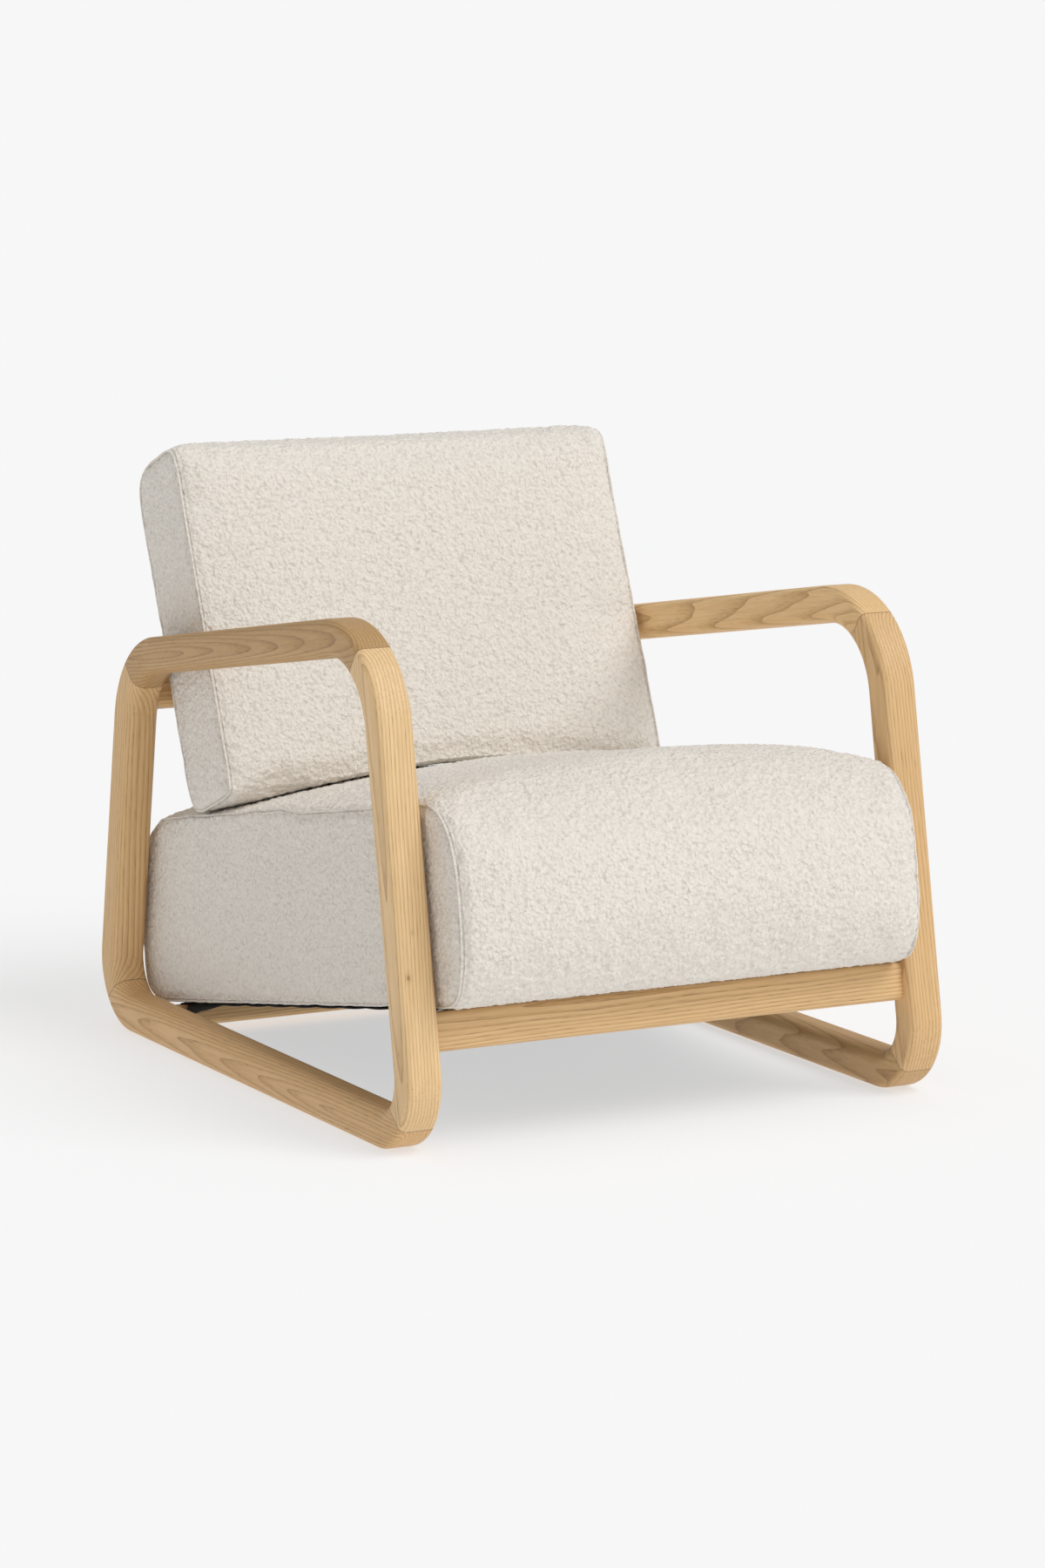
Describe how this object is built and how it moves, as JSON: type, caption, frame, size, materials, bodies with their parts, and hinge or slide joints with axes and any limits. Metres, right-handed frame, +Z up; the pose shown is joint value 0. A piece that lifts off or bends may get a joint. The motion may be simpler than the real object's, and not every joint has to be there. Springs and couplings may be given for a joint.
{
  "type": "upholstered armchair",
  "caption": "Low lounge armchair: closed rounded timber side frames and cross rails carry a loose thick seat cushion on a sloping webbed deck and a loose leaning back cushion in boucle.",
  "frame": {"origin": "centre of the chair's footprint box, on the floor", "axes": "+X across the chair, +Y towards its rear, +Z up; a sitter faces -Y"},
  "size_m": [0.7, 0.9077, 0.7323],
  "materials": {
    "oiled_oak": "pale oak, satin oil finish",
    "beech_dowel": "bare beech",
    "elastic_webbing": "black woven elastic webbing",
    "deck_cloth": "black deck cloth",
    "staple_steel": "galvanised wire",
    "firm_foam": "firm open-cell foam",
    "soft_foam": "softer open-cell foam",
    "boucle_cloth": "ivory boucle upholstery cloth, looped pile",
    "plywood": "thin birch plywood",
    "zip_tape": "ivory zip tape with a coil chain",
    "zip_metal": "satin nickel slider"
  },
  "bodies": {
    "frame": {"left_front_leg": "oiled_oak", "left_arm_rail": "oiled_oak", "left_rear_leg": "oiled_oak", "left_runner": "oiled_oak", "left_mitre_dowels": "beech_dowel", "right_front_leg": "oiled_oak", "right_arm_rail": "oiled_oak", "right_rear_leg": "oiled_oak", "right_runner": "oiled_oak", "right_mitre_dowels": "beech_dowel", "front_rail": "oiled_oak", "rear_seat_rail": "oiled_oak", "back_rail": "oiled_oak", "front_rail_dowels": "beech_dowel", "rear_seat_rail_dowels": "beech_dowel", "back_rail_dowels": "beech_dowel", "seat_strap_1": "elastic_webbing", "seat_strap_2": "elastic_webbing", "seat_strap_3": "elastic_webbing", "seat_strap_4": "elastic_webbing", "seat_strap_5": "elastic_webbing", "seat_strap_6": "elastic_webbing", "deck_cloth": "deck_cloth", "deck_staples": "staple_steel"},
    "seat_cushion": {"seat_foam_base": "firm_foam", "seat_foam_topper": "soft_foam", "seat_cover_wrap": "boucle_cloth", "seat_cover_left_panel": "boucle_cloth", "seat_cover_right_panel": "boucle_cloth", "seat_zip": "zip_tape"},
    "back_cushion": {"back_foam_core": "firm_foam", "back_stiffener_board": "plywood", "back_foam_backing": "firm_foam", "back_cover_wrap": "boucle_cloth", "back_cover_left_panel": "boucle_cloth", "back_cover_right_panel": "boucle_cloth", "back_zip": "zip_tape"},
    "seat_zip_pull": {"seat_zip_slider": "zip_metal"},
    "back_zip_pull": {"back_zip_slider": "zip_metal"}
  },
  "joints": [
    {"name": "seat_cushion_slide", "type": "slide", "parent": "frame", "child": "seat_cushion", "axis": [0, -0.9848, 0.1736], "range_m": [0, 0.9]},
    {"name": "back_cushion_lift", "type": "slide", "parent": "frame", "child": "back_cushion", "axis": [0, 0.3746, 0.9272], "range_m": [0, 0.45]},
    {"name": "seat_zip_slide", "type": "slide", "parent": "seat_cushion", "child": "seat_zip_pull", "axis": [-1, 0, 0], "range_m": [0, 0.424]},
    {"name": "back_zip_slide", "type": "slide", "parent": "back_cushion", "child": "back_zip_pull", "axis": [-1, 0, 0], "range_m": [0, 0.424]}
  ]
}
